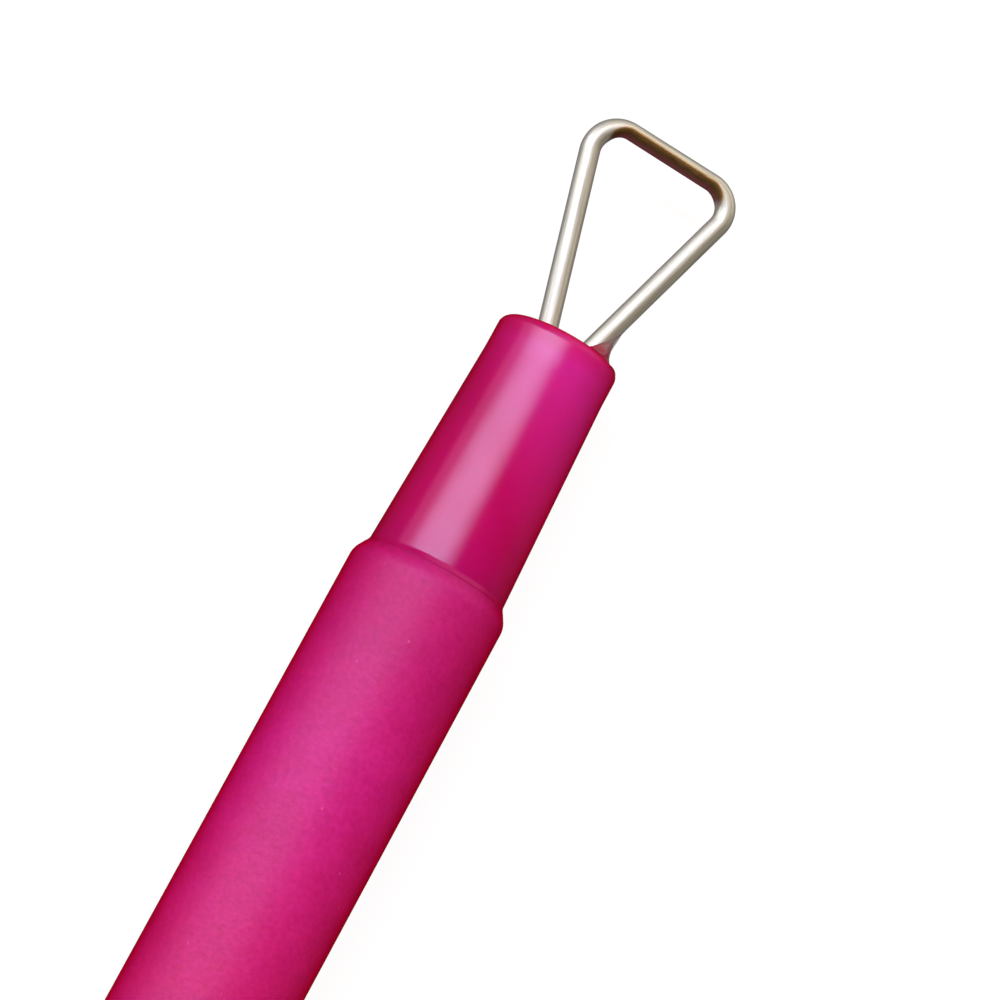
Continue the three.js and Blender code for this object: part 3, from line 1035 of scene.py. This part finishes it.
class CUTICLE_OT_stage(bpy.types.Operator):
    """Sets the paper floor, the light and the camera"""

    bl_idname = "cuticle_remover.stage"
    bl_label = "Stage"

    def execute(self, context):
        settings = context.scene.cuticle_remover
        context.scene.view_settings.view_transform = "Standard"
        self.lay_floor(context, settings)
        self.light_room(context, settings.studio)
        for name in LAMPS:
            self.hang_lamp(context, settings.studio, name)
        self.set_camera(context, settings.studio)
        return {"FINISHED"}

    @staticmethod
    def lay_floor(context, settings):
        bm = bmesh.new()
        bmesh.ops.create_grid(bm, x_segments=1, y_segments=1, size=settings.studio.floor_size / 2)
        mesh = bpy.data.meshes.new("paper_floor")
        bm.to_mesh(mesh)
        bm.free()
        mesh.materials.append(paper_sweep(settings.finish, settings.studio))
        floor = bpy.data.objects.new("paper_floor", mesh)
        context.scene.collection.objects.link(floor)

    @staticmethod
    def light_room(context, studio):
        """A dim, warm room, with a white backdrop round the horizon where the background shows."""
        world = bpy.data.worlds.new("dim room")
        context.scene.world = world
        world.use_nodes = True
        tree = world.node_tree
        tree.nodes.clear()
        heading = add(tree, "TexCoord").outputs["Generated"]
        height = add(tree, "SeparateXYZ", {"Vector": heading}).outputs["Z"]
        backdrop = add(
            tree, "Math", {0: height, 1: math.sin(studio.backdrop_height)}, operation="LESS_THAN"
        )
        shown = add(
            tree, "Math", {0: background_rays(tree, studio), 1: backdrop.outputs[0]}, operation="MULTIPLY"
        )
        tone = add(
            tree, "Mix", {"Factor": shown.outputs[0], COLOUR_A: studio.room, COLOUR_B: WHITE},
            data_type="RGBA",
        )
        room = add(tree, "Background", {"Color": tone.outputs[COLOUR_RESULT]})
        add(tree, "OutputWorld", {"Surface": room.outputs[0]})

    @staticmethod
    def hang_lamp(context, studio, name):
        """Hangs a soft lamp that faces the tool and whose sides fade out."""
        side, front, distance, width, reach, brightness, feather, cast = (
            getattr(studio, f"{name}_{part}")
            for part in ("side", "front", "distance", "width", "length", "level", "feather", "cast")
        )
        lamp = bpy.data.lights.new(name, "AREA")
        lamp.shape = "RECTANGLE"
        lamp.size = width
        lamp.size_y = reach
        lamp.energy = brightness * AREA_WATTS * width * reach
        lamp.use_nodes = True
        tree = lamp.node_tree
        tree.nodes.clear()
        middle = 0.5
        face = add(tree, "NewGeometry").outputs["Parametric"]
        across = add(tree, "SeparateXYZ", {"Vector": face})
        from_side = add(tree, "Math", {0: across.outputs["X"], 1: middle}, operation="PINGPONG")
        fade = add(
            tree, "MapRange", {"Value": from_side.outputs[0], "From Min": 0.0, "From Max": feather},
            interpolation_type="SMOOTHSTEP",
        )
        glow = add(tree, "Emission", {"Color": cast, "Strength": fade.outputs["Result"]})
        add(tree, "OutputLight", {"Surface": glow.outputs[0]})
        hung = bpy.data.objects.new(name, lamp)
        context.scene.collection.objects.link(hung)
        hung.visible_camera = False
        hung.visible_diffuse = name != GLOSS_LAMP
        toward = Vector((math.tan(front), math.tan(side), 1.0)).normalized()
        along = Vector((1.0, 0.0, 0.0))
        along = (along - toward * along.dot(toward)).normalized()
        turn = Matrix((along.cross(toward), along, toward)).transposed().to_4x4()
        hung.matrix_world = Matrix.Translation(Vector(studio.aim) + toward * distance) @ turn

    @staticmethod
    def set_camera(context, studio):
        lens = bpy.data.cameras.new("camera")
        lens.lens = studio.lens
        lens.clip_start = CAMERA_NEAR
        camera = bpy.data.objects.new("camera", lens)
        context.scene.collection.objects.link(camera)
        context.scene.camera = camera
        level_out = math.cos(studio.elevation)
        back = Vector(
            (
                level_out * math.cos(studio.azimuth),
                level_out * math.sin(studio.azimuth),
                math.sin(studio.elevation),
            )
        )
        place = Matrix.Translation(Vector(studio.aim) + back * studio.distance)
        aimed = back.to_track_quat("Z", "Y").to_matrix().to_4x4()
        camera.matrix_world = place @ aimed @ Matrix.Rotation(studio.roll, 4, "Z")


class CUTICLE_PT_sidebar(bpy.types.Panel):
    """Lists the tool's pieces and what can be set"""

    bl_idname = "CUTICLE_PT_sidebar"
    bl_label = "Cuticle Remover"
    bl_space_type = "VIEW_3D"
    bl_region_type = "UI"
    bl_category = "Cuticle Remover"

    def draw(self, context):
        for operator in OPERATORS:
            self.layout.operator(operator.bl_idname)
        settings = context.scene.cuticle_remover
        for group in (settings.handle, settings.loop, settings.glue, settings.finish, settings.studio):
            box = self.layout.box()
            for name in group.__annotations__:
                box.prop(group, name)


OPERATORS = (
    CUTICLE_OT_barrel,
    CUTICLE_OT_nose,
    CUTICLE_OT_tail_plug,
    CUTICLE_OT_wire_loop,
    CUTICLE_OT_leg_glue,
    CUTICLE_OT_stage,
)
CLASSES = (
    HandleSettings,
    LoopSettings,
    GlueSettings,
    FinishSettings,
    StudioSettings,
    CuticleRemoverSettings,
    *OPERATORS,
    CUTICLE_PT_sidebar,
)


def register():
    for kind in CLASSES:
        bpy.utils.register_class(kind)
    bpy.types.Scene.cuticle_remover = PointerProperty(type=CuticleRemoverSettings)


def unregister():
    del bpy.types.Scene.cuticle_remover
    for kind in reversed(CLASSES):
        bpy.utils.unregister_class(kind)


def main():
    register()
    bpy.ops.cuticle_remover.barrel()
    bpy.ops.cuticle_remover.nose()
    bpy.ops.cuticle_remover.tail_plug()
    bpy.ops.cuticle_remover.wire_loop()
    bpy.ops.cuticle_remover.leg_glue()
    bpy.ops.cuticle_remover.stage()


if __name__ == "__main__":
    main()
